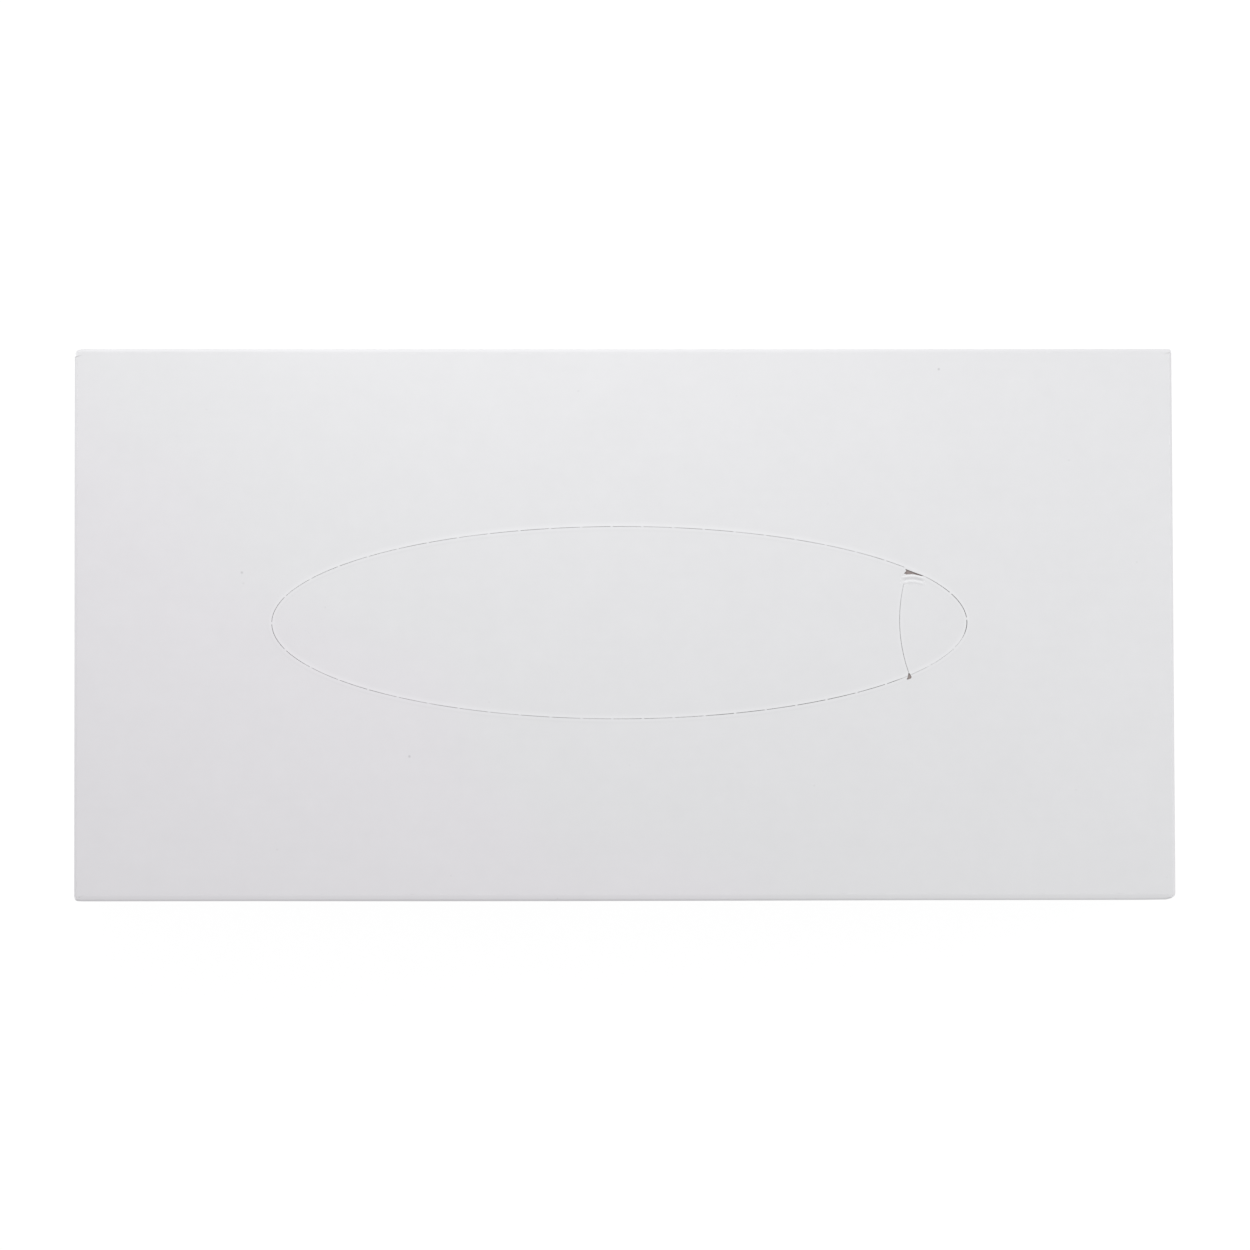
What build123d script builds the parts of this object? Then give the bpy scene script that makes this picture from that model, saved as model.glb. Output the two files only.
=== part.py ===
from build123d import *
from bisect import bisect_left
from itertools import accumulate
from math import atan2, ceil, cos, degrees, dist, pi, sin
import os

# Flat tissue box: one blank of coated white board, folded and glued shut round
# its clip of tissues. Millimetres, origin at the middle of the base, +Z up,
# long side along X. The front panel faces -Y and the back panel +Y.

# Outside size of the closed box
LENGTH = 230.0
WIDTH = 115.5
HEIGHT = 50.0

# The board, and the outer radius that it takes at a scored fold
BOARD = 0.4
FOLD_RADIUS = 0.6

# End closure: dust flaps innermost, then the inner flap that folds up from the
# bottom panel, then the outer flap that folds down from the top panel
OUTER_FLAP_DROP = 36.0
INNER_FLAP_RISE = 30.0
FLAP_SIDE_GAP = 1.1
FLAP_TAPER = 1.4
FLAP_CORNER_RADIUS = 4.0

# The blank is notched at each corner, so that the flaps can fold: the long
# folds stop this far short of the ends
CORNER_NOTCH = 1.9

# Glued side seam: the back panel's raw edge stops this far above the base,
# outside the glue flap that stands up from the bottom panel
SEAM_LIFT = 1.3

# Perforated oval in the top panel, a little off the panel's middle. Each cut
# ends in a nick, a short bridge of uncut board.
OVAL_LENGTH = 145.4
OVAL_WIDTH = 40.25
OVAL_SHIFT_X = -1.05
OVAL_SHIFT_Y = 0.4
CUT_WIDTH = 0.16
NICK_LENGTH = 0.5
NICK_PITCH = 6.45

# Finger tab at the oval's right tip, behind a slit that has no nicks
TAB_LENGTH = 14.1
TAB_SLIT_RADIUS = 32.9
TAB_SLIT_SHIFT_Y = 0.33
TAB_NICK_PITCH = 6.53
TAB_NICK_SHIFT = 0.5

# Small torn gaps where the slit meets the oval
UPPER_TEAR_DEPTH = 1.0
UPPER_TEAR_LENGTH = 4.2
LOWER_TEAR_DEPTH = 1.3
LOWER_TEAR_LENGTH = 0.9

# Outer faces of the layers at each end, counted from the middle of the box
OUTER_FLAP_X = LENGTH / 2
INNER_FLAP_X = OUTER_FLAP_X - BOARD
DUST_FLAP_X = INNER_FLAP_X - BOARD

# Side faces. The back panel lies one board outside the glue flap.
FRONT_Y = -WIDTH / 2
BACK_Y = WIDTH / 2
GLUE_FLAP_Y = BACK_Y - BOARD

# Steps in which the oval's outline is measured along its arc
OVAL_STEPS = 3600


def across(profile):
    """A profile in the XZ plane, carried over the whole width."""
    return extrude(Plane.XZ * profile, amount=WIDTH / 2, both=True)


def along(profile):
    """A profile in the YZ plane, carried over the whole length."""
    return extrude(Plane.YZ * profile, amount=LENGTH / 2, both=True)


def corner(profile, place):
    """The profile's corner nearest to a place."""
    return profile.vertices().sort_by_distance(place)[0]


def wall_section():
    """Section through the top, front, bottom and back panels, with the seam's step."""
    folds = [(FRONT_Y, 0), (GLUE_FLAP_Y, 0), (BACK_Y, HEIGHT), (FRONT_Y, HEIGHT)]
    seam = [(GLUE_FLAP_Y, SEAM_LIFT), (BACK_Y, SEAM_LIFT)]
    section = make_face(Polyline(*folds[:2], *seam, *folds[2:], close=True))
    return fillet([corner(section, place) for place in folds], FOLD_RADIUS)


def closed_tube():
    """The four long panels. Between top and bottom, the side panels reach a little
    further and fold round into the dust flaps."""
    panels = extrude(Plane.YZ * wall_section(), amount=OUTER_FLAP_X - CORNER_NOTCH, both=True)
    plan = Pos(0, 0, BOARD) * RectangleRounded(2 * DUST_FLAP_X, WIDTH, FOLD_RADIUS)
    return panels + (along(wall_section()) & extrude(plan, amount=HEIGHT - 2 * BOARD))


def flap_outline(fold_z, free_z, low_y, high_y):
    """A flap seen from the end: narrower than its panel, tapered, its free corners round."""
    low_y, high_y = low_y + FLAP_SIDE_GAP, high_y - FLAP_SIDE_GAP
    free_ends = [(high_y - FLAP_TAPER, free_z), (low_y + FLAP_TAPER, free_z)]
    outline = make_face(Polyline((low_y, fold_z), (high_y, fold_z), *free_ends, close=True))
    return fillet([corner(outline, place) for place in free_ends], FLAP_CORNER_RADIUS)


def end_flaps(flap_x, fold_z, free_z, high_y):
    """Both end flaps of one panel: a sheet folded at fold_z and cut to the flap's outline."""
    x = flap_x - BOARD / 2
    z = fold_z + (BOARD / 2 if free_z > fold_z else -BOARD / 2)
    middle = FilletPolyline((-x, free_z), (-x, z), (x, z), (x, free_z), radius=FOLD_RADIUS - BOARD / 2)
    return across(trace(middle, BOARD)) & along(flap_outline(fold_z, free_z, FRONT_Y, high_y))


def oval_point(angle):
    """A point of the oval; the angle is that of the ellipse's formula, in radians."""
    x = OVAL_SHIFT_X + OVAL_LENGTH / 2 * cos(angle)
    y = OVAL_SHIFT_Y + OVAL_WIDTH / 2 * sin(angle)
    return x, y


# Angles from the oval's left tip once round, lower side first, and the length
# of outline up to each of them
ANGLES = [pi + 2 * pi * step / OVAL_STEPS for step in range(OVAL_STEPS + 1)]
CHORDS = [dist(oval_point(a), oval_point(b)) for a, b in zip(ANGLES, ANGLES[1:])]
LENGTHS = list(accumulate(CHORDS, initial=0))
OVAL_OUTLINE = LENGTHS[-1]


def angle_at(length):
    """The oval's angle at a length along its outline."""
    step = min(max(bisect_left(LENGTHS, length), 1), OVAL_STEPS)
    share = (length - LENGTHS[step - 1]) / (LENGTHS[step] - LENGTHS[step - 1])
    return ANGLES[step - 1] + share * (ANGLES[step] - ANGLES[step - 1])


def length_at(point):
    """The length along the oval's outline at a point of it, right of the left tip."""
    angle = atan2((point.Y - OVAL_SHIFT_Y) / OVAL_WIDTH, (point.X - OVAL_SHIFT_X) / OVAL_LENGTH)
    return LENGTHS[round((angle + pi) / (2 * pi) * OVAL_STEPS)]


def oval_arc(start, end):
    """The oval's curve between two lengths along its outline."""
    return EllipticalCenterArc(
        (OVAL_SHIFT_X, OVAL_SHIFT_Y),
        OVAL_LENGTH / 2,
        OVAL_WIDTH / 2,
        start_angle=degrees(angle_at(start)),
        arc_size=degrees(angle_at(end) - angle_at(start)),
    )


def cut_spans(start, end, nick, pitch):
    """Where the knife cuts between two lengths, with a nick at each pitch from one nick."""
    sides = [start]
    for count in range(ceil((start - nick) / pitch), ceil((end - nick) / pitch)):
        centre = nick + count * pitch
        sides += [centre - NICK_LENGTH / 2, centre + NICK_LENGTH / 2]
    sides.append(end)
    return [(a, b) for a, b in zip(sides[::2], sides[1::2]) if b - a > NICK_LENGTH]


def torn_gap(slit_end, depth, end):
    """A thin triangle from the slit's end to a point down the slit and one along the oval."""
    inward = Vector(slit_end.X, OVAL_SHIFT_Y) - slit_end
    down_slit = slit_end + inward.normalized() * depth
    return make_face(Polyline(slit_end, down_slit, oval_point(angle_at(end)), close=True))


def top_cuts():
    """All that is cut through the top panel: perforation, tab slit and torn gaps."""
    oval = Pos(OVAL_SHIFT_X, OVAL_SHIFT_Y) * Ellipse(OVAL_LENGTH / 2, OVAL_WIDTH / 2)
    slit_x = OVAL_SHIFT_X + OVAL_LENGTH / 2 - TAB_LENGTH
    slit_centre = (slit_x + TAB_SLIT_RADIUS, OVAL_SHIFT_Y + TAB_SLIT_SHIFT_Y)
    slit = CenterArc(slit_centre, TAB_SLIT_RADIUS, 90, 180)
    lower, upper = oval.edge().find_intersection_points(slit).sort_by(Axis.Y)
    low, high = length_at(lower), length_at(upper)

    spans = cut_spans(NICK_LENGTH / 2, low, 0, NICK_PITCH)
    spans += cut_spans(low, high, OVAL_OUTLINE / 2 + TAB_NICK_SHIFT, TAB_NICK_PITCH)
    spans += cut_spans(high, OVAL_OUTLINE - NICK_LENGTH / 2, OVAL_OUTLINE, NICK_PITCH)
    cuts = [trace(oval_arc(start, end), CUT_WIDTH) for start, end in spans]
    cuts.append(trace(slit.trim(upper, lower), CUT_WIDTH))
    cuts.append(torn_gap(upper, UPPER_TEAR_DEPTH, high - UPPER_TEAR_LENGTH))
    cuts.append(torn_gap(lower, LOWER_TEAR_DEPTH, low + LOWER_TEAR_LENGTH))
    return cuts


def tissue_carton():
    """The whole closed box as one solid."""
    carton = closed_tube()
    carton += end_flaps(INNER_FLAP_X, 0, INNER_FLAP_RISE, GLUE_FLAP_Y)
    carton += end_flaps(OUTER_FLAP_X, HEIGHT, HEIGHT - OUTER_FLAP_DROP, BACK_Y)
    return carton - [extrude(Pos(0, 0, HEIGHT) * cut, amount=-BOARD) for cut in top_cuts()]


os.makedirs("parts", exist_ok=True)
carton = tissue_carton()
print("solids:", len(carton.solids()), "faces:", len(carton.faces()), "mm3:", round(carton.volume))
export_step(carton, "parts/tissue_carton.step")
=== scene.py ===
# %% [markdown]
# This lesson dresses a flat tissue box, glued shut and photographed from straight
# above on white. The real thing is one sheet of white coated board, cut by a steel
# rule, scored, folded and glued, so it is modelled here in the same order: a flat
# panel is drawn, walls and flaps are folded down from it, the board gets its
# thickness, and a cutting rule goes through it for the perforated oval.

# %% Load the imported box
import bpy
import bmesh
from bisect import bisect_left
from itertools import accumulate
from math import atan2, cos, dist, hypot, pi, radians, sin
from mathutils import Euler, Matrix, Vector


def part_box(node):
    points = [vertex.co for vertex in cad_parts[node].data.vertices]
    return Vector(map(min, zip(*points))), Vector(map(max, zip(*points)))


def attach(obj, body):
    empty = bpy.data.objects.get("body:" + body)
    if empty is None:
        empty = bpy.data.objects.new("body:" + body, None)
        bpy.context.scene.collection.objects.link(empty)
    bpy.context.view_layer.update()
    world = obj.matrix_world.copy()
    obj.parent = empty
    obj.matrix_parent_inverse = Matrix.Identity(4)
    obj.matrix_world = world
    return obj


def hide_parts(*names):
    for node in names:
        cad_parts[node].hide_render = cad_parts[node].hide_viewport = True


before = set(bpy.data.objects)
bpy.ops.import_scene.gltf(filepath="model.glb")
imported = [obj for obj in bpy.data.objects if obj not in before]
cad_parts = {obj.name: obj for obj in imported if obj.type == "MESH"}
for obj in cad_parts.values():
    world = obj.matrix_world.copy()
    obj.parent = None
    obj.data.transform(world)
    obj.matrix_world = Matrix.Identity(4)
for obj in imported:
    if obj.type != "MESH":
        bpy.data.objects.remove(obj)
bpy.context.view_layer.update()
MM = 0.001

# %% [markdown]
# Sizes come first. The outside of the box is read from the frame, and the rest are
# the board's own measures in metres: how thick it is, how tightly it folds, and how
# far each flap reaches. The layers at an end lie one on the other, the dust flaps
# innermost, with a breath of air between them so that no two faces share a place.

# %% Sizes of the blank
NODE = "tissue_carton"
HALF_LENGTH, HALF_WIDTH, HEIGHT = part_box(NODE)[1]

BOARD = 0.4 * MM
AIR = 0.02 * MM
FOLD_RADIUS = 0.6 * MM

OUTER_FLAP_DROP = 36 * MM
INNER_FLAP_RISE = 30 * MM
DUST_FLAP_REACH = 36 * MM
GLUE_FLAP_RISE = 12 * MM
FLAP_SIDE_GAP = 1.1 * MM
FLAP_TAPER = 1.4 * MM
FLAP_CORNER = 4 * MM
CORNER_NOTCH = 1.9 * MM
RELIEF = 1.0 * MM
SEAM_LIFT = 1.3 * MM

OUTER_X = HALF_LENGTH
INNER_X = OUTER_X - BOARD - AIR
DUST_X = INNER_X - BOARD - AIR
NOTCH_X = OUTER_X - CORNER_NOTCH
GLUE_Y = HALF_WIDTH - BOARD - AIR
FLAP_Y = HALF_WIDTH - FLAP_SIDE_GAP
FREE_Z = HEIGHT - OUTER_FLAP_DROP
print("end layers at", [round(x / MM, 2) for x in (OUTER_X, INNER_X, DUST_X)])

# %% [markdown]
# An operator acts on all that is selected, so a few small helpers do the picking. They
# select vertices, edges or faces in edit mode by where their middle lies, as a hand
# with a box select would.

# %% Helpers for picking
KINDS = {"VERT": "verts", "EDGE": "edges", "FACE": "faces"}


def only(piece):
    """Selects one object and makes it active."""
    bpy.ops.object.select_all(action="DESELECT")
    piece.select_set(True)
    bpy.context.view_layer.objects.active = piece


def middle(item):
    """The middle of a vertex, an edge or a face."""
    if isinstance(item, bmesh.types.BMVert):
        return item.co
    return sum((corner.co for corner in item.verts), Vector()) / len(item.verts)


def pick(kind, test):
    """In edit mode, selects what passes a test on its middle, and gives the count."""
    bpy.ops.mesh.select_mode(type=kind)
    bpy.ops.mesh.select_all(action="DESELECT")
    data = bpy.context.object.data
    mesh = bmesh.from_edit_mesh(data)
    found = [item for item in getattr(mesh, KINDS[kind]) if test(middle(item))]
    for item in found:
        item.select_set(True)
    mesh.select_flush_mode()
    bmesh.update_edit_mesh(data)
    return len(found)


def near(a, b):
    """True where two lengths agree to a hundredth of a millimetre."""
    return abs(a - b) < 0.01 * MM


def fold_out(*steps):
    """Extrudes the selected edges once for each step of (x, y, z)."""
    for step in steps:
        bpy.ops.mesh.extrude_region_move(TRANSFORM_OT_translate={"value": step})


# %% [markdown]
# The top panel starts as a grid, because a box full of tissues pushes its panels out
# a little and a grid can take that crown. Two cuts along it mark where the end flaps,
# narrower than the panel, will leave it.

# %% Top panel
PANEL_COLUMNS, PANEL_ROWS = 40, 20

bpy.ops.object.select_all(action="DESELECT")
bpy.ops.mesh.primitive_grid_add(x_subdivisions=PANEL_COLUMNS, y_subdivisions=PANEL_ROWS, size=1)
carton = bpy.context.object
carton.name = "folded_carton"
bpy.ops.object.mode_set(mode="EDIT")
bpy.ops.transform.resize(value=(2 * NOTCH_X, 2 * HALF_WIDTH, 1))
bpy.ops.transform.translate(value=(0, 0, HEIGHT))
for side in (-1, 1):
    bpy.ops.mesh.select_all(action="SELECT")
    bpy.ops.mesh.bisect(plane_co=(0, side * FLAP_Y, 0), plane_no=(0, 1, 0))
print("top panel faces:", len(bmesh.from_edit_mesh(carton.data).faces))

# %% [markdown]
# The walls are folded down from the long edges. The front wall goes on into the
# bottom panel and the glue flap, which stands inside the back wall. The back wall
# stops just short of the base with a raw edge: that is the seam where the box maker
# glued the sheet into a tube. Short first and last steps leave an edge from which
# each flap can grow.

# %% Front wall, bottom, glue flap and back wall
WALL_STEPS = 8
BOTTOM_STEPS = 12

wall_step = (HEIGHT - RELIEF - SEAM_LIFT) / WALL_STEPS
wall = [(0, 0, -RELIEF)] + WALL_STEPS * [(0, 0, -wall_step)]
bottom_step = (GLUE_Y + HALF_WIDTH - 2 * FLAP_SIDE_GAP) / BOTTOM_STEPS
side_strip = (0, FLAP_SIDE_GAP, 0)
bottom = [side_strip] + BOTTOM_STEPS * [(0, bottom_step, 0)] + [side_strip]

pick("EDGE", lambda p: near(p.y, -HALF_WIDTH))
fold_out(*wall, (0, 0, -SEAM_LIFT), *bottom, (0, 0, GLUE_FLAP_RISE))
pick("EDGE", lambda p: near(p.y, HALF_WIDTH) and near(p.z, HEIGHT))
fold_out(*wall)
print("faces with the walls:", len(bmesh.from_edit_mesh(carton.data).faces))

# %% [markdown]
# Each end closes with four flaps. The dust flaps come off the walls, the inner flap
# off the bottom panel and the outer flap off the top panel. A flap is a row of edges
# pushed out to its fold and then down, up or inwards. Each row is drawn in a little,
# since flaps are cut with a taper to slide past each other.

# %% Flaps at both ends
FLAP_ROWS = 8


def grow_flap(root, reach, narrowing, taper_axis):
    """Pushes the selected edges out to their fold, then along the flap in rows."""
    fold_out(root)
    mesh = bmesh.from_edit_mesh(bpy.context.object.data)
    ends = [v.co[taper_axis] for v in mesh.verts if v.select]
    width = max(ends) - min(ends)
    for row in range(FLAP_ROWS):
        fold_out([step / FLAP_ROWS for step in reach])
        before = width - 2 * narrowing * row / FLAP_ROWS
        scale = [1, 1, 1]
        scale[taper_axis] = 1 - 2 * narrowing / FLAP_ROWS / before
        bpy.ops.transform.resize(value=scale)


for end in (-1, 1):
    for side in (-1, 1):
        pick("EDGE", lambda p: near(p.x, end * NOTCH_X) and near(p.y, side * HALF_WIDTH)
             and SEAM_LIFT < p.z < HEIGHT - RELIEF)
        grow_flap((end * (DUST_X - NOTCH_X), 0, 0), (0, -side * DUST_FLAP_REACH, 0), FLAP_TAPER, 2)
    pick("EDGE", lambda p: near(p.x, end * NOTCH_X) and near(p.z, 0) and abs(p.y) < FLAP_Y)
    grow_flap((end * (INNER_X - NOTCH_X), 0, 0), (0, 0, INNER_FLAP_RISE), FLAP_TAPER, 1)
    pick("EDGE", lambda p: near(p.x, end * NOTCH_X) and near(p.z, HEIGHT) and abs(p.y) < FLAP_Y)
    grow_flap((end * (OUTER_X - NOTCH_X), 0, 0), (0, 0, -OUTER_FLAP_DROP), FLAP_TAPER, 1)

# %% [markdown]
# At each corner the long fold runs on past the root of the dust flap, almost to the
# end of the box. A diagonal cut parts it from the outer flap, whose root is narrowed
# for that, and the strip's inner side follows the cut.

# %% Ends of the long folds
STRIP_ENDS = (OUTER_X - 0.6 * MM, OUTER_X - 0.07 * MM)
SLANTS = {(-1, -1): -0.4 * MM, (-1, 1): 0.59 * MM, (1, -1): -0.4 * MM, (1, 1): -0.4 * MM}
SLANT_CUT = 0.06 * MM


def shift_picked(test, step):
    """Moves the vertices that pass a test."""
    pick("VERT", test)
    bpy.ops.transform.translate(value=step)


def grow_strip(end, side, slant):
    """Runs one long fold on past its dust flap, parted from the outer flap by a slanted cut."""
    shift_picked(lambda p: near(p.x, end * OUTER_X) and near(p.z, HEIGHT)
                 and near(p.y, side * FLAP_Y), (0, -side * (slant + SLANT_CUT), 0))
    pick("EDGE", lambda p: near(p.x, end * NOTCH_X) and side * p.y > FLAP_Y
         and p.z > HEIGHT - RELIEF)
    first, last = STRIP_ENDS
    fold_out((end * (first - NOTCH_X), 0, 0), (end * (last - first), 0, 0))
    for strip_x in STRIP_ENDS:
        share = (strip_x - NOTCH_X) / CORNER_NOTCH
        shift_picked(lambda p: near(p.x, end * strip_x) and near(p.y, side * FLAP_Y),
                     (0, -side * share * slant, 0))
        shift_picked(lambda p: near(p.x, end * strip_x) and near(p.z, HEIGHT - RELIEF)
                     and side * p.y > 0, (0, 0, 2 * AIR))


for (end, side), slant in SLANTS.items():
    grow_strip(end, side, slant)
print("faces with the corners:", len(bmesh.from_edit_mesh(carton.data).faces))

# %% [markdown]
# The cutting rule rounds a flap's free corners, so its two corner points are bevelled.
# A score is rounder than an edge: every sharp edge of the sheet is a fold, and a bevel
# gives it the radius that board of this weight takes.

# %% Rounded flap corners and folds
CORNER_STEPS = 6
FOLD_STEPS = 6

for flap_x, free_z in ((OUTER_X, FREE_Z), (INNER_X, INNER_FLAP_RISE)):
    corners = pick("VERT", lambda p: near(abs(p.x), flap_x) and near(p.z, free_z)
                   and abs(p.y) > HALF_WIDTH - FLAP_SIDE_GAP - 2 * FLAP_TAPER)
    bpy.ops.mesh.bevel(offset=FLAP_CORNER, segments=CORNER_STEPS, affect="VERTICES")
    print("flap corners rounded:", corners)

bpy.ops.mesh.select_mode(type="EDGE")
bpy.ops.mesh.select_all(action="DESELECT")
bpy.ops.mesh.edges_select_sharp(sharpness=radians(60))
folds = [edge for edge in bmesh.from_edit_mesh(carton.data).edges if edge.select]
print("fold edges:", len(folds))
bpy.ops.mesh.bevel(offset=FOLD_RADIUS, segments=FOLD_STEPS, affect="EDGES")

# %% [markdown]
# Until here the sheet has no thickness. Its normals are turned outwards first, and
# then Solidify lays the board's thickness inwards, with a material of its own on the
# raw inner side and on the cut rim, where the core shows.

# %% Board thickness
bpy.ops.mesh.select_all(action="SELECT")
bpy.ops.mesh.remove_doubles(threshold=0.001 * MM)
bpy.ops.mesh.normals_make_consistent(inside=False)
faces = bmesh.from_edit_mesh(carton.data).faces
top_face = max(faces, key=lambda face: face.calc_center_median().z)
if top_face.normal.z < 0:
    bpy.ops.mesh.flip_normals()
bpy.ops.object.mode_set(mode="OBJECT")

COATED, RAW, CORE = 0, 1, 2
for name in ("clay_coat", "raw_back", "board_core"):
    carton.data.materials.append(bpy.data.materials.new(name))


def apply_modifier(piece, kind, **settings):
    """Adds a modifier with its settings and applies it at once."""
    only(piece)
    modifier = piece.modifiers.new(kind.lower(), kind)
    for name, value in settings.items():
        setattr(modifier, name, value)
    bpy.ops.object.modifier_apply(modifier=modifier.name)


apply_modifier(carton, "SOLIDIFY", thickness=BOARD, offset=-1, use_even_offset=True,
               material_offset=RAW, material_offset_rim=CORE)


def open_edges(piece):
    """How many edges don't have exactly two faces."""
    mesh = bmesh.new()
    mesh.from_mesh(piece.data)
    count = sum(len(edge.link_faces) != 2 for edge in mesh.edges)
    mesh.free()
    return count


print("folded sheet:", len(carton.data.polygons), "faces, open edges:", open_edges(carton))

# %% [markdown]
# The oval is perforated by a toothed rule: it cuts for about six millimetres and then
# leaves a nick of half a millimetre standing. A ring of edges stands for that rule.
# Its points are set at even steps of arc, one step to a nick, so that nicks fall at
# an even pitch although an ellipse's own formula would crowd them at the tips.

# %% The oval measured along its arc
OVAL_CENTRE = Vector((-1.05, 0.4)) * MM
OVAL_HALF_LENGTH = 72.7 * MM
OVAL_HALF_WIDTH = 20.125 * MM
ARC_STEPS = 3600


def oval_point(angle):
    """A point of the oval at an angle of the ellipse's formula."""
    return OVAL_CENTRE + Vector((OVAL_HALF_LENGTH * cos(angle), OVAL_HALF_WIDTH * sin(angle)))


def in_oval(p):
    """Where a point lies, in the oval's own half sizes: below 1 is inside."""
    return hypot((p.x - OVAL_CENTRE.x) / OVAL_HALF_LENGTH, (p.y - OVAL_CENTRE.y) / OVAL_HALF_WIDTH)


ANGLES = [pi + 2 * pi * step / ARC_STEPS for step in range(ARC_STEPS + 1)]
CHORDS = [dist(oval_point(a), oval_point(b)) for a, b in zip(ANGLES, ANGLES[1:])]
LENGTHS = list(accumulate(CHORDS, initial=0))
OVAL_OUTLINE = LENGTHS[-1]


def angle_at(length):
    """The angle at a length along the outline, counted from the left tip, lower side first."""
    step = min(max(bisect_left(LENGTHS, length), 1), ARC_STEPS)
    share = (length - LENGTHS[step - 1]) / CHORDS[step - 1]
    return ANGLES[step - 1] + share * (ANGLES[step] - ANGLES[step - 1])


def length_at(p):
    """The length along the outline at a point of it."""
    angle = atan2((p.y - OVAL_CENTRE.y) / OVAL_HALF_WIDTH, (p.x - OVAL_CENTRE.x) / OVAL_HALF_LENGTH)
    return LENGTHS[round((angle + pi) / (2 * pi) * ARC_STEPS)]


print("oval outline in mm:", round(OVAL_OUTLINE / MM, 2))

# %% [markdown]
# At the right tip a curved slit cuts off a finger tab, and the nicks around that tab
# have a rhythm of their own. Which edges are nicks is a question of arc length alone.

# %% The ring of the cutting rule
NICK = 0.4953 * MM
NICK_EVERY = 13
TAB_NICK_PITCH = 6.53 * MM
TAB_NICK_SHIFT = 0.5 * MM
TEAR_SPAN = (58.6 * MM, 62.7 * MM)

SLIT_RADIUS = 32.9 * MM
TAB_LENGTH = 14.1 * MM
SLIT_SHIFT_Y = 0.33 * MM
slit_centre = OVAL_CENTRE + Vector((OVAL_HALF_LENGTH - TAB_LENGTH + SLIT_RADIUS, SLIT_SHIFT_Y))

teeth = round(OVAL_OUTLINE / NICK)
tooth = OVAL_OUTLINE / teeth


def is_nick(p):
    """True on an edge of the ring that stays uncut: at a nick, or where the tear took over."""
    if p.y > OVAL_CENTRE.y and TEAR_SPAN[0] < p.x < TEAR_SPAN[1]:
        return True
    length = length_at(p)
    pitch, start = NICK_EVERY * tooth, 0
    if dist(p.xy, slit_centre) < SLIT_RADIUS:
        pitch, start = TAB_NICK_PITCH, OVAL_OUTLINE / 2 + TAB_NICK_SHIFT
    turns = (length - start) / pitch
    return abs(turns - round(turns)) * pitch < tooth / 2


bpy.ops.object.select_all(action="DESELECT")
bpy.ops.mesh.primitive_circle_add(vertices=teeth, radius=1)
rule = bpy.context.object
ring = sorted(rule.data.vertices, key=lambda v: atan2(v.co.y, v.co.x))
for place, vertex in enumerate(ring):
    point = oval_point(angle_at((place + 0.5) * tooth))
    vertex.co = (point.x, point.y, HEIGHT - 2 * BOARD)
bpy.ops.object.mode_set(mode="EDIT")
print("nicks:", pick("EDGE", is_nick), "of", teeth, "steps")
bpy.ops.mesh.delete(type="EDGE")
bpy.ops.object.mode_set(mode="OBJECT")

# %% [markdown]
# The ring's edges are pulled up through the board in three levels, and Solidify gives
# the ribbon its thickness. A cutting rule is a wedge: it parts the board by a hair and
# presses a steep shoulder beside the cut, so the ribbon is told its thickness at each
# level by a vertex group. The cut isn't even either: it gapes at both tips and on the
# lower right, and nearly shuts beside the tab. A Boolean takes the ribbon out of the
# board. The cut's upright faces show the core, and the shoulders are still coated.

# %% Cut the perforated oval
WIDEST_RULE = 0.3 * MM
SHOULDER, SHOULDER_DEPTH = 0.02 * MM, 0.08 * MM
ABOVE = 0.1 * MM
UPRIGHT = 0.1
RULE_FOOT = HEIGHT - 2 * BOARD
RULE_LEVELS = {RULE_FOOT: 0, HEIGHT - SHOULDER_DEPTH: 0,
               HEIGHT + ABOVE: SHOULDER * (1 + ABOVE / SHOULDER_DEPTH)}

# Width of the cut in millimetres, and how it changes between two places on the way
# from the oval's middle, 0, to its right tip, 1
GAPE, LEAST_GAPE = 0.0345, 0.006
UPPER_GAPES = ((0.88, 0.905, 0.022), (0.94, 0.97, 0.016))
LOWER_GAPES = ((0.1, 0.4, 0.029), (0.79, 0.82, -0.056), (0.84, 0.87, 0.004),
               (0.978, 0.99, 0.023), (0.988, 0.998, 0.060))


def smooth(low, high, value):
    """0 below low, 1 above high, and an even slope with soft ends between."""
    share = min(max((value - low) / (high - low), 0), 1)
    return share * share * (3 - 2 * share)


def oval_gap(p):
    """Width of the open cut round the oval: it gapes at the tips and on the lower right."""
    across = (p.x - OVAL_CENTRE.x) / OVAL_HALF_LENGTH
    length = length_at(p) / MM
    gape = GAPE + 0.007 * sin(length / 3.1) + 0.005 * sin(length / 1.3)
    gape += 0.011 * smooth(0.9, 0.99, -across)
    if p.y > OVAL_CENTRE.y:
        steps = UPPER_GAPES
        gape += 0.012 * (1 - smooth(0, 0.15, abs(across + 0.2)))
    else:
        steps = LOWER_GAPES
        gape += 0.007 * smooth(0.5, 0.65, -across)
    gape += sum(change * smooth(start, end, across) for start, end, change in steps)
    return max(gape, LEAST_GAPE) * MM


def slit_gap(p):
    """Width of the tab's slit, narrower at its upper end."""
    up = (p.y - slit_centre.y) / OVAL_HALF_WIDTH
    return (0.042 - 0.006 * smooth(-0.3, 0, up) - 0.020 * smooth(0.12, 0.35, up)) * MM


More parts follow.
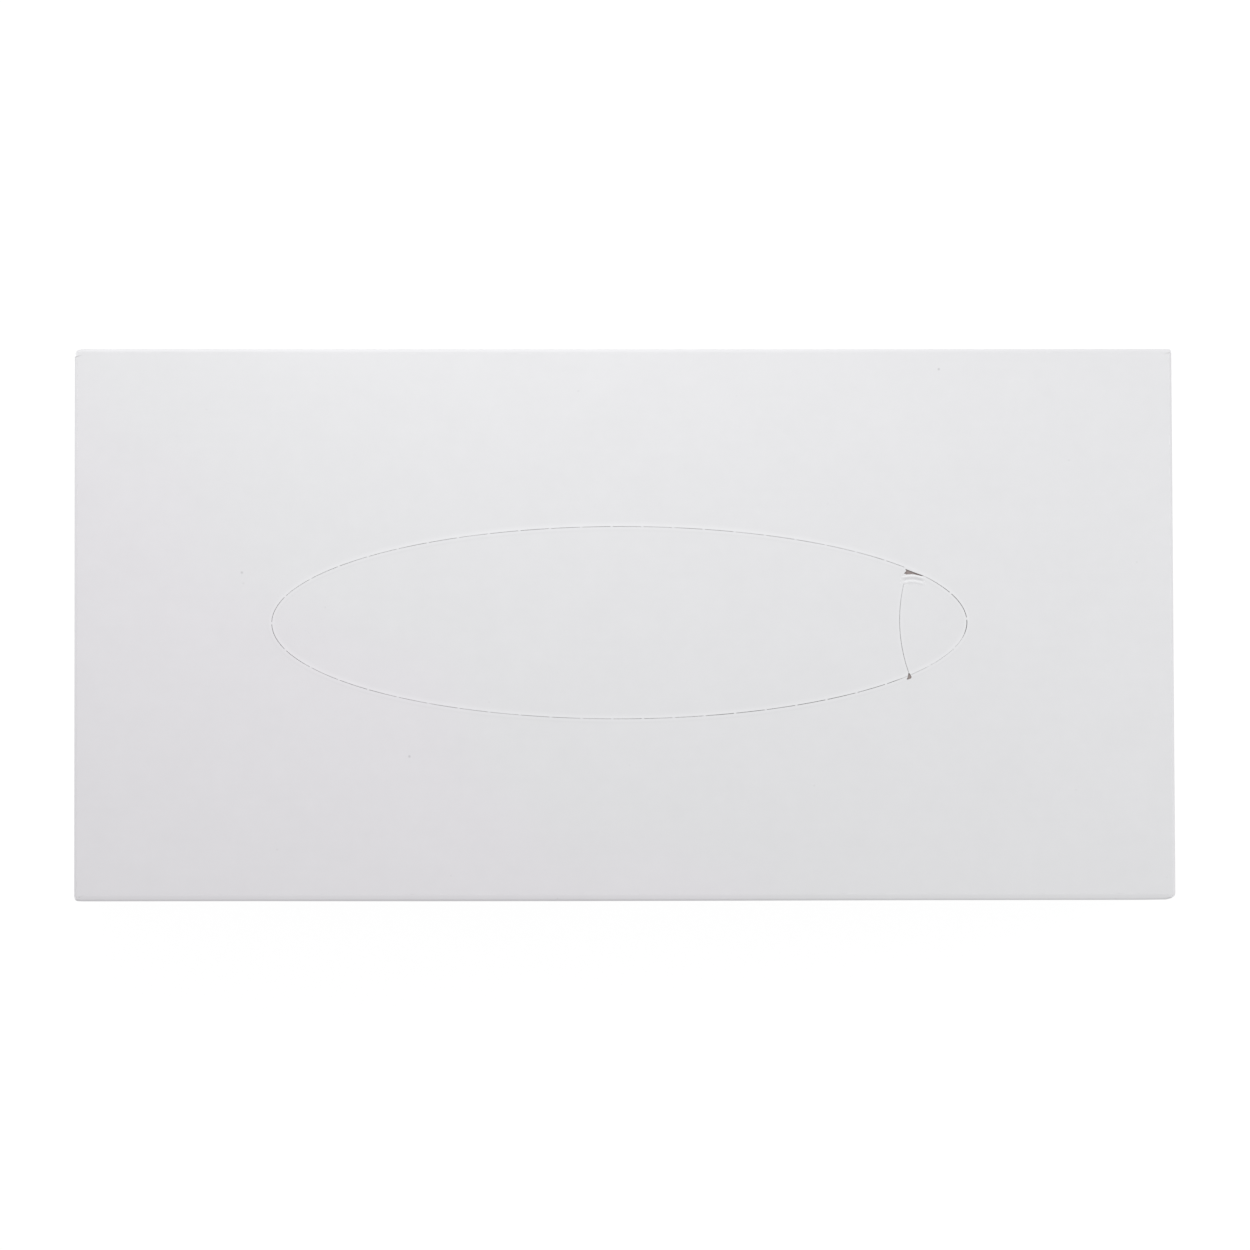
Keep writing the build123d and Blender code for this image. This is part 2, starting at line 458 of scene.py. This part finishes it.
def raise_ribbon(piece, gap):
    """Pulls a ribbon up through the board from a piece's edges, as wide as the rule's wedge."""
    only(piece)
    bpy.ops.object.mode_set(mode="EDIT")
    bpy.ops.mesh.select_mode(type="EDGE")
    bpy.ops.mesh.select_all(action="SELECT")
    levels = list(RULE_LEVELS)
    fold_out(*[(0, 0, high - low) for low, high in zip(levels, levels[1:])])
    bpy.ops.object.mode_set(mode="OBJECT")
    group = piece.vertex_groups.new(name="rule_width")
    for vertex in piece.data.vertices:
        level = min(levels, key=lambda z: abs(z - vertex.co.z))
        width = gap(vertex.co) + 2 * RULE_LEVELS[level]
        group.add([vertex.index], width / WIDEST_RULE, "REPLACE")
    apply_modifier(piece, "SOLIDIFY", thickness=WIDEST_RULE, offset=0, vertex_group=group.name)


def carve(piece, cutter, steepest=1.1):
    """Cuts one piece with another and deletes it. Steep faces of the cut show the core."""
    for material in piece.data.materials:
        cutter.data.materials.append(material)
    for face in cutter.data.polygons:
        face.material_index = CORE if abs(face.normal.z) < steepest else COATED
    apply_modifier(piece, "BOOLEAN", object=cutter, operation="DIFFERENCE", solver="EXACT")
    bpy.data.objects.remove(cutter)
    print("after the cut:", len(piece.data.polygons), "faces, open edges:", open_edges(piece))


raise_ribbon(rule, oval_gap)
carve(carton, rule, UPRIGHT)

# %% [markdown]
# The slit that frees the finger tab has no nicks. It is an arc of a larger circle: a
# whole circle is added and what lies outside the oval is deleted, and so is its upper
# end, where the pushed-in corner has shut the slit.

# %% Cut the tab's slit
SLIT_TOP = 8.6 * MM

bpy.ops.object.select_all(action="DESELECT")
bpy.ops.mesh.primitive_circle_add(vertices=720, radius=SLIT_RADIUS,
                                  location=(*slit_centre, HEIGHT - 2 * BOARD))
slit = bpy.context.object
bpy.ops.object.transform_apply(location=True)
bpy.ops.object.mode_set(mode="EDIT")
pick("VERT", lambda p: in_oval(p) > 1 or p.y > SLIT_TOP)
bpy.ops.mesh.delete(type="VERT")
bpy.ops.object.mode_set(mode="OBJECT")
raise_ribbon(slit, slit_gap)
carve(carton, slit, UPRIGHT)

# %% [markdown]
# Where the slit meets the oval the board has torn: the white coat is gone and the
# core shows in two small pits. Each pit is a polygon of a few given corners,
# raised through the surface but kept short of the board's full depth.

# %% Tear the two pits at the ends of the slit
UPPER_TEAR = [(58.8, 11.55), (60.9, 10.75), (62.4, 10.2), (63.35, 9.75), (62.6, 10.05),
              (62.0, 10.1), (60.3, 10.5), (59.1, 10.4), (58.5, 10.6), (59.0, 11.1)]
LOWER_TEAR = [(59.3, -10.3), (59.6, -10.35), (60.0, -11.05), (59.9, -11.35), (59.3, -11.6),
              (58.95, -11.6), (59.2, -11.05)]


def tear(corners, depth):
    """A pit with the given corners in millimetres, torn into the top panel."""
    bpy.ops.object.select_all(action="DESELECT")
    bpy.ops.mesh.primitive_circle_add(vertices=len(corners), radius=1, fill_type="NGON")
    pit = bpy.context.object
    by_angle = sorted(pit.data.vertices, key=lambda v: -atan2(v.co.y, v.co.x))
    for vertex, (x, y) in zip(by_angle, corners):
        vertex.co = (x * MM, y * MM, HEIGHT - depth)
    bpy.ops.object.mode_set(mode="EDIT")
    bpy.ops.mesh.select_all(action="SELECT")
    fold_out((0, 0, 2 * depth))
    bpy.ops.mesh.select_all(action="SELECT")
    bpy.ops.mesh.normals_make_consistent(inside=False)
    bpy.ops.object.mode_set(mode="OBJECT")
    carve(carton, pit)


tear(UPPER_TEAR, 0.3 * MM)
tear(LOWER_TEAR, 0.2 * MM)

# %% [markdown]
# The tab's upper corner has been pushed in, and the board below the pit is rippled:
# two low ridges with a furrow between them run across the corner, a little arched.
# That small region needs points of its own, so it is cut into a fine net.

# %% Ripple the tab's corner
RIPPLES = {10.42: -0.10, 10.0: 0.13, 9.35: -0.12, 8.9: 0.08, 8.45: 0.0}
RIPPLE_MIDDLE, RIPPLE_REACH, RIPPLE_ARCH = 60.1 * MM, 2.3 * MM, 0.42 * MM
NET_X = (57.6 * MM, 63.6 * MM, 0.4 * MM)
NET_Y = (7.8 * MM, 10.6 * MM, 0.14 * MM)


def near_corner(p):
    """True on the top panel close to the tab's upper corner."""
    return p.z > HEIGHT - 2 * BOARD and 56 * MM < p.x < 66 * MM and 6 * MM < p.y < 13 * MM


def cut_net(axis, start, end, step):
    """A row of straight cuts through the board round the tab's corner."""
    for count in range(round((end - start) / step) + 1):
        place, normal = Vector((0, 0, 0)), Vector((0, 0, 0))
        place[axis], normal[axis] = start + count * step, 1
        pick("FACE", near_corner)
        bpy.ops.mesh.bisect(plane_co=place, plane_no=normal)


def ripple(p):
    """Height of the rippled board at a point."""
    if not near_corner(p):
        return 0
    away = (p.x - RIPPLE_MIDDLE) / RIPPLE_REACH
    fade = smooth(-1.0, -0.6, away) * (1 - smooth(0.8, 1.2, away))
    y = (p.y + RIPPLE_ARCH * away * away) / MM
    places = list(RIPPLES)
    for upper, lower in zip(places, places[1:]):
        if lower <= y <= upper:
            share = (upper - y) / (upper - lower)
            return fade * (RIPPLES[upper] + share * (RIPPLES[lower] - RIPPLES[upper])) * MM
    return 0


only(carton)
bpy.ops.object.mode_set(mode="EDIT")
pick("FACE", lambda p: p.z > HEIGHT - 2 * BOARD and p.x > 50 * MM and abs(p.y) < 25 * MM)
bpy.ops.mesh.quads_convert_to_tris()
cut_net(0, *NET_X)
cut_net(1, *NET_Y)
bpy.ops.object.mode_set(mode="OBJECT")
print("with the net:", len(carton.data.polygons), "faces, open edges:", open_edges(carton))

# %% [markdown]
# The tissues inside push the panels out, most in the middle and not at all at the
# folds. The outer end flap shows what lies under it: above the inner flap's edge, and
# between the two dust flaps, it is pressed in by a hair. All of this is one function
# from a point to its shift, used on both sides of the board, so that the sheet keeps
# its thickness.

# %% Crown the panels and press the flaps
TOP_CROWN = 0.45 * MM
WALL_BOW = 0.35 * MM
FLAP_PRESS = 0.12 * MM
FRONT_DIP, DIP_REACH = 0.13 * MM, 1.4 * MM
SKEW, FRONT_LEAN, BACK_LEAN = 0.07 * MM, 0.17 * MM, 0.22 * MM
LEAN_WIDTH, LEAN_DEPTH = 4 * MM, 20 * MM
PRESS_SLOPE, PRESS_FADE = 0.6 * MM, (10 * MM, 2 * MM)
CORNER_RADII = {(-1, 1): (1.4, 1.3), (1, 1): (0.5, 0.5),
                (-1, -1): (0.9, 0.9), (1, -1): (2.8, 1.3)}


def crown(share):
    """A bow that is 1 in the middle and 0 at both ends, for a share from -1 to 1."""
    return 1 - min(abs(share), 1) ** 2


def corner_shift(p):
    """How far a point near an upper corner is pushed in, so that the corner is round in plan."""
    end, side = (1 if p.x > 0 else -1), (1 if p.y > 0 else -1)
    along, across = (radius * MM for radius in CORNER_RADII[end, side])
    u = (abs(p.x) - HALF_LENGTH) / along + 1
    v = (abs(p.y) - HALF_WIDTH) / across + 1
    if u <= 0 or v <= 0:
        return Vector((0, 0, 0))
    pull = (1 - max(u, v) / hypot(u, v)) * smooth(HEIGHT - 9 * MM, HEIGHT - 2 * MM, p.z)
    return Vector((-end * u * along * pull, -side * v * across * pull, 0))


def panel_shift(p):
    """The shift of one point of the finished sheet."""
    shift = corner_shift(p)
    shift.x -= SKEW * p.y / HALF_WIDTH
    leftward = (1 - p.x / HALF_LENGTH) / 2
    lean = FRONT_LEAN * leftward * (1 - smooth(-HALF_WIDTH, LEAN_WIDTH - HALF_WIDTH, p.y))
    lean += BACK_LEAN * leftward ** 2 * smooth(HALF_WIDTH - LEAN_WIDTH, HALF_WIDTH, p.y)
    shift.y += lean * smooth(HEIGHT - LEAN_DEPTH, HEIGHT, p.z)
    if p.z > HEIGHT - 2.5 * BOARD and abs(p.x) < OUTER_X - FOLD_RADIUS:
        shift.z += TOP_CROWN * crown(p.x / HALF_LENGTH) * crown(p.y / HALF_WIDTH) + ripple(p)
        from_front = max(p.y + HALF_WIDTH, FOLD_RADIUS)
        shift.z -= FRONT_DIP * max((DIP_REACH - from_front) / (DIP_REACH - FOLD_RADIUS), 0) ** 2
    if abs(p.y) > HALF_WIDTH - 2.5 * BOARD:
        out = 1 if p.y > 0 else -1
        shift.y += out * WALL_BOW * crown(p.x / HALF_LENGTH) * crown(2 * p.z / HEIGHT - 1)
    if abs(p.x) > OUTER_X - BOARD - AIR / 2 and p.z < HEIGHT - FOLD_RADIUS:
        above = smooth(INNER_FLAP_RISE - PRESS_SLOPE, INNER_FLAP_RISE + PRESS_SLOPE, p.z)
        below_fold = 1 - smooth(HEIGHT - PRESS_FADE[0], HEIGHT - PRESS_FADE[1], p.z)
        shift.x -= FLAP_PRESS * above * below_fold * (1 if p.x > 0 else -1)
    return shift


only(carton)
bpy.ops.object.mode_set(mode="EDIT")
for from_front in (DIP_REACH, 0.85 * MM):
    pick("FACE", lambda p: p.z > HEIGHT - 2 * BOARD and p.y < -HALF_WIDTH + 10 * MM)
    bpy.ops.mesh.bisect(plane_co=(0, from_front - HALF_WIDTH, 0), plane_no=(0, 1, 0))
for end in (-1, 1):
    for offset in (-PRESS_SLOPE, 0, PRESS_SLOPE):
        pick("FACE", lambda p: end * p.x > OUTER_X - BOARD - AIR / 2 and p.z < HEIGHT - FOLD_RADIUS)
        bpy.ops.mesh.bisect(plane_co=(0, 0, INNER_FLAP_RISE + offset), plane_no=(0, 0, 1))
bpy.ops.object.mode_set(mode="OBJECT")
for vertex in carton.data.vertices:
    vertex.co += panel_shift(vertex.co)
bpy.ops.object.shade_smooth_by_angle(angle=radians(35))
apply_modifier(carton, "WEIGHTED_NORMAL", keep_sharp=True)

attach(carton, "root")
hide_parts(NODE)

# %% [markdown]
# Materials are worked out as sums of sockets. The class below wraps a socket, so that
# plain arithmetic on it adds Math nodes, and a finish gathers the nodes of a material.

# %% Helpers for materials
class Socket:
    """An output of a node; arithmetic on it adds Math nodes to its finish."""

    def __init__(self, finish, socket):
        self.finish, self.socket = finish, socket

    def maths(self, operation, *values):
        return self.finish.node("Math", {"operation": operation}, dict(enumerate(values)))

    def __add__(self, other):
        return self.maths("ADD", self, other)

    def __sub__(self, other):
        return self.maths("SUBTRACT", self, other)

    def __rsub__(self, other):
        return self.maths("SUBTRACT", other, self)

    def __mul__(self, other):
        return self.maths("MULTIPLY", self, other)

    def __truediv__(self, other):
        return self.maths("DIVIDE", self, other)

    def __pow__(self, other):
        return self.maths("POWER", self, other)

    def __abs__(self):
        return self.maths("ABSOLUTE", self)

    __radd__, __rmul__ = __add__, __mul__


class Finish:
    """A material built from nodes."""

    def __init__(self, material):
        material.use_nodes = True
        self.tree = material.node_tree
        self.tree.nodes.clear()

    def node(self, kind, settings=None, inputs=None, output=0):
        """Adds a node, sets it, feeds its inputs and gives one of its outputs."""
        made = self.tree.nodes.new("ShaderNode" + kind)
        for name, value in (settings or {}).items():
            setattr(made, name, value)
        for name, value in (inputs or {}).items():
            if isinstance(value, Socket):
                self.tree.links.new(value.socket, made.inputs[name])
            else:
                made.inputs[name].default_value = value
        return Socket(self, made.outputs[output])

    def noise(self, place, scale, detail=2, stretch=(1, 1, 1)):
        """Noise about zero, from -0.5 to 0.5, with its pattern stretched along axes."""
        spread = self.node("Mapping", {}, {"Vector": place, "Scale": stretch})
        return self.node("TexNoise", {}, {"Vector": spread, "Scale": scale, "Detail": detail}) - 0.5

    def step(self, value, low, high):
        """0 where a value is under low, 1 over high, with a soft slope between."""
        inputs = {"Value": value, "From Min": low, "From Max": high}
        return self.node("MapRange", {"interpolation_type": "SMOOTHSTEP"}, inputs)

    def mix(self, factor, first, second):
        """Two colours mixed."""
        inputs = {0: factor, 6: first, 7: second}
        return self.node("Mix", {"data_type": "RGBA"}, inputs, output=2)

    def scaled(self, colour, factor):
        """A colour made lighter or darker by a factor."""
        return self.node("VectorMath", {"operation": "SCALE"}, {"Vector": colour, "Scale": factor})

    def surface(self, shader):
        """Ends the material with its surface."""
        end = self.tree.nodes.new("ShaderNodeOutputMaterial")
        self.tree.links.new(shader.socket, end.inputs["Surface"])


# %% [markdown]
# Coated board is nearly white, a little cool, with the faint cloudiness of its clay
# coat. The paper machine leaves streaks along the sheet. Dust in the coat is a Voronoi
# pattern, whose cells each hold one soft dot, and the three specks that catch the eye
# are listed. The perforating rule came from the inner side, so the board
# stands up beside the oval in a low ridge, which a bump follows by the distance from
# the oval's line.

# %% Coated board
BOARD_COLOUR = (0.786, 0.786, 0.801, 1)
# A faint pink cast of painted light, mixed in towards the lower left of the box.
PAINTED_LIGHT_TINT_COLOUR = (0.791, 0.778, 0.804, 1)
CLOUD, PATCH, MOTTLE, STREAK = 0.014, 0.03, 0.022, 0.010
# Lighter folds round the top panel: partly rubbed wear, partly painted light on the curve of the
# folds, which turns away from the lamps.
END_FOLD_WEAR_AND_LIGHT, END_FOLD_WEAR_AND_LIGHT_LEAN, SIDE_FOLD_WEAR_AND_LIGHT = 0.15, 0.03, 0.06
FOLD_WEAR_AND_LIGHT_REACH = (-0.5 * MM, -0.1 * MM)
RIDGE_HEIGHT, RIDGE_REACH = 0.052 * MM, 1.0 * MM
# Painted highlight in a band beside the oval and the slit, and painted shade right at the cuts.
CUT_HIGHLIGHT, SLIT_HIGHLIGHT, HIGHLIGHT_REACH = 0.034, 0.02, (0.4 * MM, 0.78 * MM)
SHADE, SLIT_SHADE, SHADE_REACH = 0.02, 0.05, (0.06 * MM, 0.24 * MM)
# Painted light and shade on the tab's rippled corner: for each band, its middle and half width in
# millimetres and how much lighter it is.
RIPPLE_LIGHT_AND_SHADE = ((10.17, 0.20, 0.12), (9.6, 0.35, -0.07), (9.1, 0.22, 0.055), (8.62, 0.18, -0.05))
SPECKS = ((-45, -27.5), (66, 53.5), (-80, 11))
SPECK_RADIUS, SPECK_DEPTH = 0.4 * MM, 0.2
DUST_SCALE, DUST_RADIUS, DUST_DEPTH = 120, 0.35 * MM, 0.06
DOT_CORE = 0.2


def oval_distance(x, y):
    """Distance from the oval's line, as sockets: negative inside."""
    u, v = (x - OVAL_CENTRE.x) / OVAL_HALF_LENGTH, (y - OVAL_CENTRE.y) / OVAL_HALF_WIDTH
    radius = (u * u + v * v) ** 0.5
    steepness = ((u / OVAL_HALF_LENGTH) ** 2 + (v / OVAL_HALF_WIDTH) ** 2) ** 0.5
    return (radius - 1) * radius / steepness


def close_to(finish, distance, reach):
    """1 close to a line or a point, fading to 0 over a reach of distances."""
    return 1 - finish.step(distance, *reach)


def dots(finish, place, x, y, on_top):
    """How much darker the specks and the dust are."""
    flat = finish.node("CombineXYZ", {}, {0: x, 1: y})
    dust = finish.node("TexVoronoi", {}, {"Vector": place, "Scale": DUST_SCALE})
    edge = DUST_RADIUS * DUST_SCALE
    shade = close_to(finish, dust, (DOT_CORE * edge, edge)) * DUST_DEPTH
    for speck_x, speck_y in SPECKS:
        away = finish.node("VectorMath", {"operation": "DISTANCE"},
                           {0: flat, 1: (speck_x * MM, speck_y * MM, 0)}, output=1)
        speck = close_to(finish, away, (DOT_CORE * SPECK_RADIUS, SPECK_RADIUS))
        shade = shade + speck * on_top * SPECK_DEPTH
    return shade


def rubbed_and_lit_folds(finish, x, y, z):
    """How much lighter the folds round the top panel are: partly rubbed wear, partly painted light
    on the rounded folds.
    """
    end_wear_and_light = END_FOLD_WEAR_AND_LIGHT - x * (END_FOLD_WEAR_AND_LIGHT_LEAN / HALF_LENGTH)
    ends = finish.step(abs(x) - HALF_LENGTH, *FOLD_WEAR_AND_LIGHT_REACH) * end_wear_and_light
    sides = finish.step(abs(y) - HALF_WIDTH, *FOLD_WEAR_AND_LIGHT_REACH) * SIDE_FOLD_WEAR_AND_LIGHT
    return (ends + sides) * finish.step(z, HEIGHT - 2 * MM, HEIGHT - MM)


def cut_light(finish, x, y, inside):
    """Painted highlight beside the cuts, less the painted shade right at them."""
    beside = abs(inside)
    slit_x, slit_y = x - slit_centre.x, y - slit_centre.y
    from_slit = abs((slit_x * slit_x + slit_y * slit_y) ** 0.5 - SLIT_RADIUS)
    in_oval_only = close_to(finish, inside, (-0.2 * MM, 0.2 * MM))
    in_slit = in_oval_only * close_to(finish, y, (SLIT_TOP, SLIT_TOP + MM))
    light = close_to(finish, beside, HIGHLIGHT_REACH) * CUT_HIGHLIGHT
    light = light - close_to(finish, beside, SHADE_REACH) * SHADE
    slit_light = close_to(finish, from_slit, HIGHLIGHT_REACH) * SLIT_HIGHLIGHT
    slit_light = slit_light - close_to(finish, from_slit, SHADE_REACH) * SLIT_SHADE
    return light + slit_light * in_slit


def ripple_light(finish, x, y):
    """Painted light and shade across the ridges and furrow of the tab's rippled corner."""
    away = (x - RIPPLE_MIDDLE) / RIPPLE_REACH
    across = y + away * away * RIPPLE_ARCH
    light = 0
    for crest, half, lighter in RIPPLE_LIGHT_AND_SHADE:
        band = across.maths("MAXIMUM", 1 - abs(across - crest * MM) / (half * MM), 0)
        light = band * lighter + light
    rippled = finish.step(away, -0.9, -0.6) * close_to(finish, away, (0.8, 1.15))
    return light * rippled * (0.85 + away * 0.35)


def coated_board(material):
    """White clay-coated board."""
    finish = Finish(material)
    place = finish.node("TexCoord", output=3)
    x, y, z = (finish.node("SeparateXYZ", {}, {0: place}, output=axis) for axis in range(3))
    on_top = finish.step(z, HEIGHT / 2, HEIGHT / 2 + MM)
    inside = oval_distance(x, y)

    mottle = finish.noise(place, 420, 2)
    tone = 1 + finish.noise(place, 60, 3) * CLOUD + finish.noise(place, 170, 2) * PATCH
    tone = tone + mottle * MOTTLE + finish.noise(place, 1, 2, (12, 600, 600)) * STREAK
    # Painted light lightens the folds along with their wear.
    tone = tone + rubbed_and_lit_folds(finish, x, y, z) - dots(finish, place, x, y, on_top)
    # Painted highlight and shade at the cuts, and painted light and shade on the tab's rippled
    # corner.
    tone = tone + (cut_light(finish, x, y, inside) + ripple_light(finish, x, y)) * on_top

    # Painted pink cast of light, growing towards the lower left.
    lower_left = x * (-1 / (80 * MM)) - y / (60 * MM) + finish.noise(place, 22, 1)
    board_with_light_tint = finish.mix(finish.step(lower_left, 0.5, 1.05), BOARD_COLOUR, PAINTED_LIGHT_TINT_COLOUR)
    beside = abs(inside)
    ridge = beside.maths("MAXIMUM", 1 - beside / RIDGE_REACH, 0) * on_top
    lifted = finish.node("Bump", {}, {"Strength": 1, "Distance": RIDGE_HEIGHT, "Height": ridge})
    fibre = finish.noise(place, 3200, 3) + mottle * 0.5
    bump = finish.node("Bump", {}, {"Strength": 0.3, "Distance": 0.02 * MM, "Height": fibre,
                                    "Normal": lifted})
    finish.surface(finish.node("BsdfPrincipled", {}, {
        "Base Color": finish.scaled(board_with_light_tint, tone), "Roughness": 0.45 + mottle * 0.06,
        "Normal": bump, "Specular IOR Level": 0.4}))


coated_board(bpy.data.materials["clay_coat"])

# %% [markdown]
# Only the outer face of carton board is coated. Its inner side is bare grey-brown
# fibre, and so is the core that a cut or a tear lays open, only darker. Both get the
# same recipe: a flat colour, fine fibre noise in tone and in relief, and no gloss.

# %% Raw board and its core
def raw_board(material, colour, contrast):
    """Uncoated board: grey-brown fibres."""
    finish = Finish(material)
    place = finish.node("TexCoord", output=3)
    fibre = finish.noise(place, 2500, 3)
    cloud = finish.noise(place, 150, 2)
    tone = 1 + fibre * contrast + cloud * 0.06
    bump = finish.node("Bump", {}, {"Strength": 0.5, "Distance": 0.04 * MM, "Height": fibre})
    shader = finish.node("BsdfPrincipled", {}, {
        "Base Color": finish.scaled(colour, tone), "Roughness": 0.9, "Normal": bump,
        "Specular IOR Level": 0.2})
    finish.surface(shader)


raw_board(bpy.data.materials["raw_back"], (0.52, 0.50, 0.47), 0.12)
raw_board(bpy.data.materials["board_core"], (0.36, 0.31, 0.30), 0.15)

# %% [markdown]
# The box lies on a plain sheet of white, as in a catalogue picture. To the camera the
# floor glows almost white by itself and adds a little of the light that falls on it,
# so that the box keeps a faint shadow. For all other rays it is ordinary white card,
# which throws its light back up at the walls.

# %% Floor
bpy.ops.object.select_all(action="DESELECT")
bpy.ops.mesh.primitive_plane_add(size=4)
floor = bpy.context.object
floor.name = "floor"
FLOOR_GLOW = 0.92
FLOOR_COLOUR = (0.14, 0.14, 0.14, 1)


def floor_finish(material):
    """White that glows to the camera and is plain card to every other ray."""
    finish = Finish(material)
    seen = finish.node("LightPath", output="Is Camera Ray")
    plain = finish.node("BsdfDiffuse", {}, {"Color": (0.9, 0.9, 0.9, 1)})
    lit = finish.node("BsdfDiffuse", {}, {"Color": FLOOR_COLOUR})
    glow = finish.node("Emission", {}, {"Color": (1, 1, 1, 1), "Strength": FLOOR_GLOW})
    white = finish.node("AddShader", {}, {0: lit, 1: glow})
    finish.surface(finish.node("MixShader", {}, {0: seen, 1: plain, 2: white}))


floor.data.materials.append(bpy.data.materials.new("white_floor"))
floor_finish(floor.data.materials[0])

# %% [markdown]
# Most of the light is the even grey of a light tent. In the picture the panel's back
# half is lighter than its front, which a soft lamp low behind the box gives, and a
# second one at the right lifts that side a little.

# %% World and lamps
WORLD_LEVEL = 0.61
world = bpy.data.worlds.new("studio")
bpy.context.scene.world = world
sky = Finish(world)
seen = sky.node("LightPath", output="Is Camera Ray")
level = WORLD_LEVEL + seen * (1 - WORLD_LEVEL)
backdrop = sky.node("Background", {}, {"Color": (1, 1, 1, 1), "Strength": level})
world_out = sky.tree.nodes.new("ShaderNodeOutputWorld")
sky.tree.links.new(backdrop.socket, world_out.inputs["Surface"])


def soft_lamp(name, place, target, size, watts):
    """A square area lamp that faces a point."""
    turn = (Vector(target) - Vector(place)).to_track_quat("-Z", "Y").to_euler()
    bpy.ops.object.light_add(type="AREA", location=place, rotation=turn)
    lamp = bpy.context.object
    lamp.name = name
    lamp.data.size = size
    lamp.data.energy = watts
    lamp.visible_camera = False


soft_lamp("back_lamp", (-0.050, 0.235, 0.36), (0, 0, 0.05), 0.2, 0.64)
soft_lamp("side_lamp", (0.28, 0, 0.24), (0.06, -0.03, 0.05), 0.1, 0.105)

# %% [markdown]
# The camera looks almost straight down from a metre away, through a long lens, which
# is why only the top panel shows. It leans two degrees, since in the picture the
# front edge is a little longer than the back edge.

# %% Camera
VIEW_TURN = Euler((radians(2.185), radians(-0.588), radians(-0.114)))
VIEW_TARGET = Vector((0.08, -0.09, 50)) * MM
VIEW_DISTANCE = 1.0

bpy.ops.object.camera_add(rotation=VIEW_TURN)
camera = bpy.context.object
camera.location = VIEW_TARGET + VIEW_TURN.to_matrix() @ Vector((0, 0, VIEW_DISTANCE))
camera.data.sensor_width = 36
camera.data.lens = 137.671
bpy.context.scene.camera = camera
bpy.context.scene.view_settings.view_transform = "Standard"
